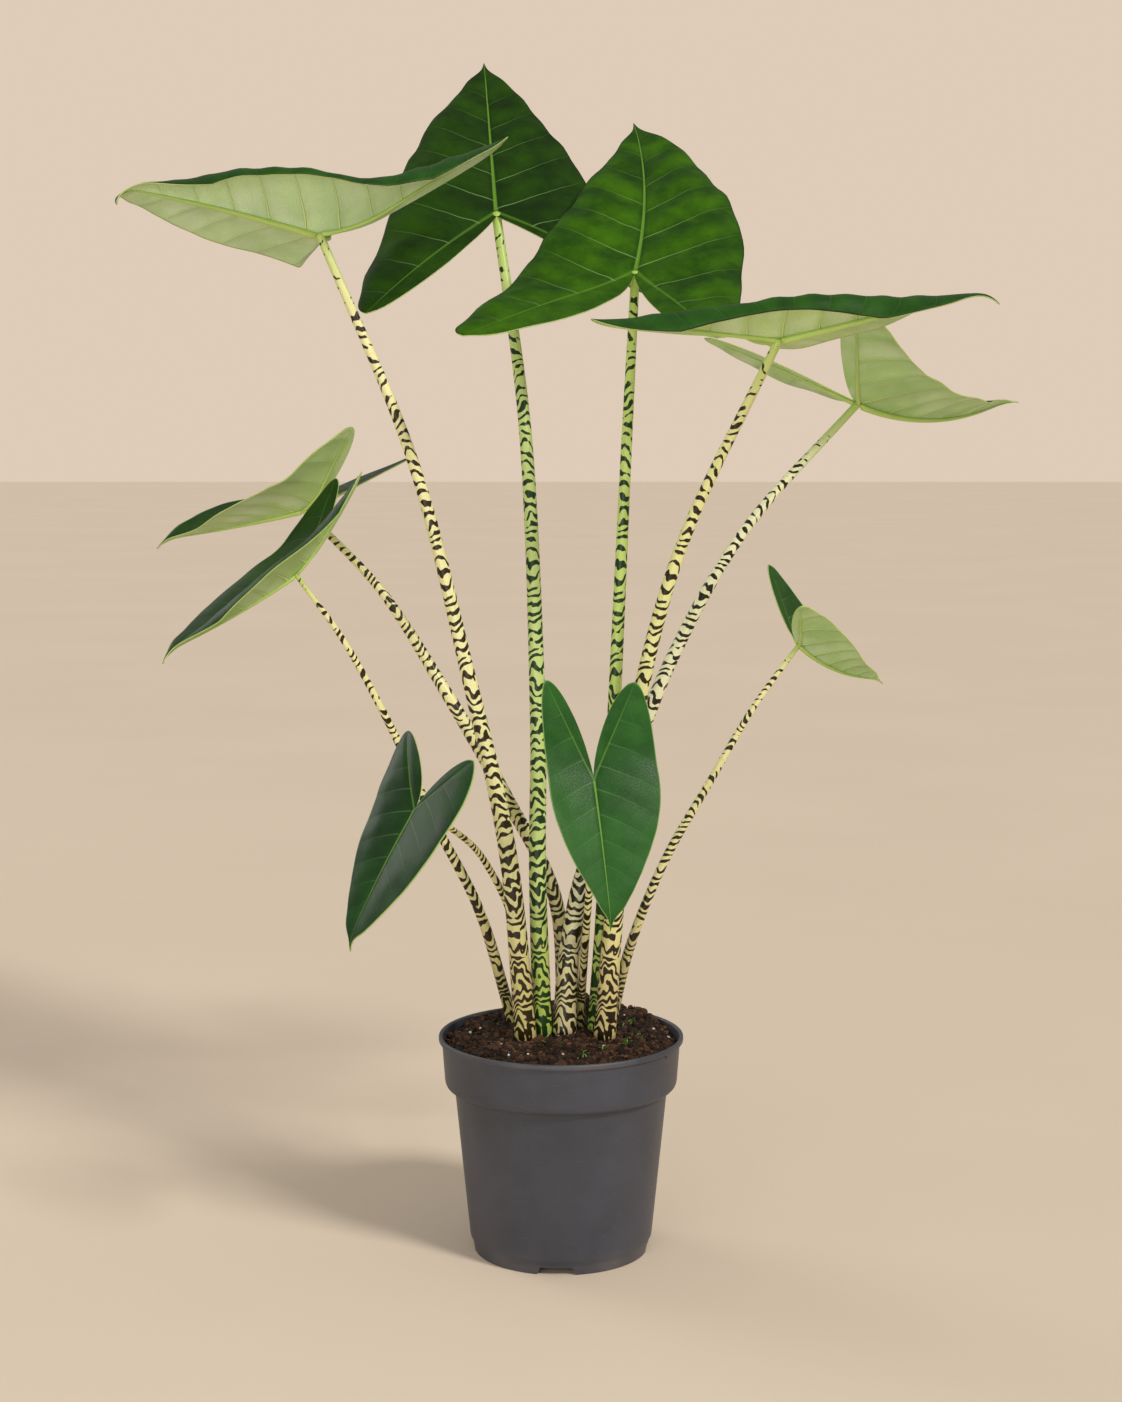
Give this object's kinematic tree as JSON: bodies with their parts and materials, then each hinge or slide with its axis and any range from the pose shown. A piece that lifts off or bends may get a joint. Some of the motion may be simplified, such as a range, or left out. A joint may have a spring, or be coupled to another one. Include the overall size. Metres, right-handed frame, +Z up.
{
  "type": "potted plant",
  "caption": "Tall foliage plant in a round nursery pot: arrow-shaped blades on slender zebra-banded petioles that rise from the potting mix and spread outwards.",
  "frame": {"origin": "on the floor, under the middle of the plant's overall box; the pot's axis stands 30 mm to -X and 45 mm to -Y of it", "axes": "+Z up, -Y towards the front, +X to the right seen from the front"},
  "size_m": [0.7812, 0.497, 1.0473],
  "materials": {
    "pot": "matt charcoal grey moulded plastic",
    "soil": "dark crumbly peat mix with bark",
    "petiole": "satin cream green with dark zebra bands",
    "blade": "satin dark green with paler veins, lighter underneath"
  },
  "bodies": {
    "root": {"pot": "pot", "soil": "soil", "petiole_upper_left": "petiole", "blade_upper_left": "blade", "petiole_top_back": "petiole", "blade_top_back": "blade", "petiole_top_front": "petiole", "blade_top_front": "blade", "petiole_upper_right": "petiole", "blade_upper_right": "blade", "petiole_middle_right": "petiole", "blade_middle_right": "blade", "petiole_middle_left_back": "petiole", "blade_middle_left_back": "blade", "petiole_middle_left_front": "petiole", "blade_middle_left_front": "blade", "petiole_lower_left": "petiole", "blade_lower_left": "blade", "petiole_lower_front": "petiole", "blade_lower_front": "blade", "petiole_lower_right": "petiole", "blade_lower_right": "blade"}
  },
  "joints": []
}
